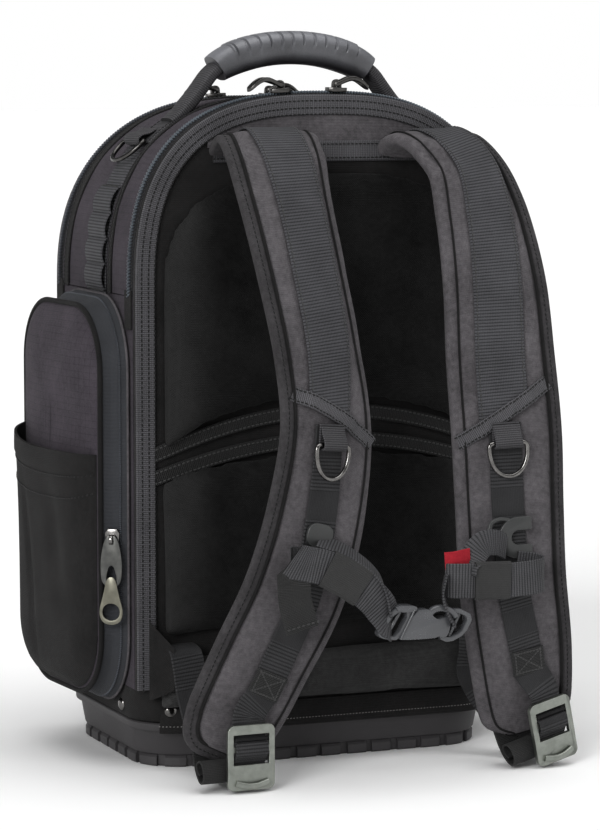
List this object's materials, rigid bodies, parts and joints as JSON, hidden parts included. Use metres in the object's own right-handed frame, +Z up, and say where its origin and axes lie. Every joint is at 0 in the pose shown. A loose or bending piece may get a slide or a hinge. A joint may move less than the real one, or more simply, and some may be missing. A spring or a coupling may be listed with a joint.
{
  "type": "tool backpack",
  "caption": "Arched tool backpack on a moulded base, with padded shoulder straps, a rubber carry grip, zipped side pockets and a fastened sternum strap.",
  "frame": {"origin": "middle of the base's flat underside", "axes": "+Z up, +X to the right seen from behind, +Y from the strap side towards the bag's front"},
  "size_m": [0.3872, 0.3235, 0.5353],
  "materials": {
    "grey_cloth": "ripstop weave",
    "black_cloth": "matt ballistic weave",
    "webbing": "ribbed webbing",
    "zip_tape": "coil zip tape",
    "base_plastic": "moulded satin",
    "buckle_plastic": "moulded satin",
    "grip_rubber": "soft moulded rubber",
    "gunmetal": "satin plated",
    "dark_steel": "dark plated",
    "aluminium": "satin cast"
  },
  "bodies": {
    "root": {"base_tray": "base_plastic", "bottom_band": "black_cloth", "back_panel": "black_cloth", "back_border": "black_cloth", "yoke_tape": "webbing", "upper_pad": "black_cloth", "lower_pad": "black_cloth", "lumbar_pad": "black_cloth", "rear_zip": "zip_tape", "mid_gusset": "grey_cloth", "front_zip": "zip_tape", "front_shell": "grey_cloth", "rear_left_zip_slider": "dark_steel", "rear_right_zip_slider": "dark_steel", "front_left_zip_slider": "dark_steel", "front_right_zip_slider": "dark_steel", "handle_strap": "webbing", "handle_grip": "grip_rubber", "left_side_webbing": "webbing", "left_side_ring_tab": "webbing", "left_pocket_gusset": "grey_cloth", "left_pocket_zip": "zip_tape", "left_pocket_face": "grey_cloth", "left_slip_pocket": "black_cloth", "left_pocket_slider": "dark_steel", "right_side_webbing": "webbing", "right_side_ring_tab": "webbing", "right_pocket_gusset": "grey_cloth", "right_pocket_zip": "zip_tape", "right_pocket_face": "grey_cloth", "right_slip_pocket": "black_cloth", "right_pocket_slider": "dark_steel", "left_strap_pad": "grey_cloth", "left_wide_webbing": "webbing", "left_narrow_webbing": "webbing", "left_ring_tab": "webbing", "left_ladder_buckle": "aluminium", "left_adjuster_webbing": "webbing", "right_strap_pad": "grey_cloth", "right_wide_webbing": "webbing", "right_narrow_webbing": "webbing", "right_ring_tab": "webbing", "right_ladder_buckle": "aluminium", "right_adjuster_webbing": "webbing", "sternum_buckle_socket": "buckle_plastic", "sternum_buckle_prong": "buckle_plastic", "left_sternum_webbing": "webbing", "right_sternum_webbing": "webbing", "left_sternum_slider": "buckle_plastic", "right_sternum_slider": "buckle_plastic"},
    "rear_left_zip_pull": {"rear_left_zip_pull": "gunmetal"},
    "rear_right_zip_pull": {"rear_right_zip_pull": "gunmetal"},
    "front_left_zip_pull": {"front_left_zip_pull": "gunmetal"},
    "front_right_zip_pull": {"front_right_zip_pull": "gunmetal"},
    "left_side_ring": {"left_side_ring": "dark_steel"},
    "left_pocket_pull": {"left_pocket_pull": "gunmetal"},
    "right_side_ring": {"right_side_ring": "dark_steel"},
    "right_pocket_pull": {"right_pocket_pull": "gunmetal"},
    "left_strap_ring": {"left_strap_ring": "dark_steel"},
    "right_strap_ring": {"right_strap_ring": "dark_steel"}
  },
  "joints": [
    {"name": "rear_left_zip_pull_hinge", "type": "hinge", "parent": "root", "child": "rear_left_zip_pull", "pos_m": [-0.03042, -0.0752, 0.49684], "axis": [0, 1, 0], "range_deg": [0, 150]},
    {"name": "rear_right_zip_pull_hinge", "type": "hinge", "parent": "root", "child": "rear_right_zip_pull", "pos_m": [0.01425, -0.0752, 0.49735], "axis": [0, -1, 0], "range_deg": [0, 150]},
    {"name": "front_left_zip_pull_hinge", "type": "hinge", "parent": "root", "child": "front_left_zip_pull", "pos_m": [-0.02041, 0.0845, 0.49173], "axis": [0, 1, 0], "range_deg": [0, 150]},
    {"name": "front_right_zip_pull_hinge", "type": "hinge", "parent": "root", "child": "front_right_zip_pull", "pos_m": [0.02441, 0.0845, 0.49152], "axis": [0, -1, 0], "range_deg": [0, 150]},
    {"name": "left_side_ring_hinge", "type": "hinge", "parent": "root", "child": "left_side_ring", "pos_m": [-0.11761, -0.007, 0.45642], "axis": [0, 1, 0], "range_deg": [0, 150]},
    {"name": "left_pocket_pull_hinge", "type": "hinge", "parent": "root", "child": "left_pocket_pull", "pos_m": [-0.16122, -0.07403, 0.17], "axis": [-0.8497, 0.5272, 0], "range_deg": [0, 170]},
    {"name": "right_side_ring_hinge", "type": "hinge", "parent": "root", "child": "right_side_ring", "pos_m": [0.11761, -0.007, 0.45642], "axis": [0, -1, 0], "range_deg": [0, 150]},
    {"name": "right_pocket_pull_hinge", "type": "hinge", "parent": "root", "child": "right_pocket_pull", "pos_m": [0.16122, -0.07403, 0.17], "axis": [-0.8497, -0.5272, 0], "range_deg": [0, 170]},
    {"name": "left_strap_ring_hinge", "type": "hinge", "parent": "root", "child": "left_strap_ring", "pos_m": [-0.03443, -0.18662, 0.24494], "axis": [-0.956, -0.2764, 0.0981], "range_deg": [0, 150]},
    {"name": "right_strap_ring_hinge", "type": "hinge", "parent": "root", "child": "right_strap_ring", "pos_m": [0.10273, -0.18445, 0.24078], "axis": [-0.9942, 0.1, -0.0391], "range_deg": [0, 150]}
  ]
}
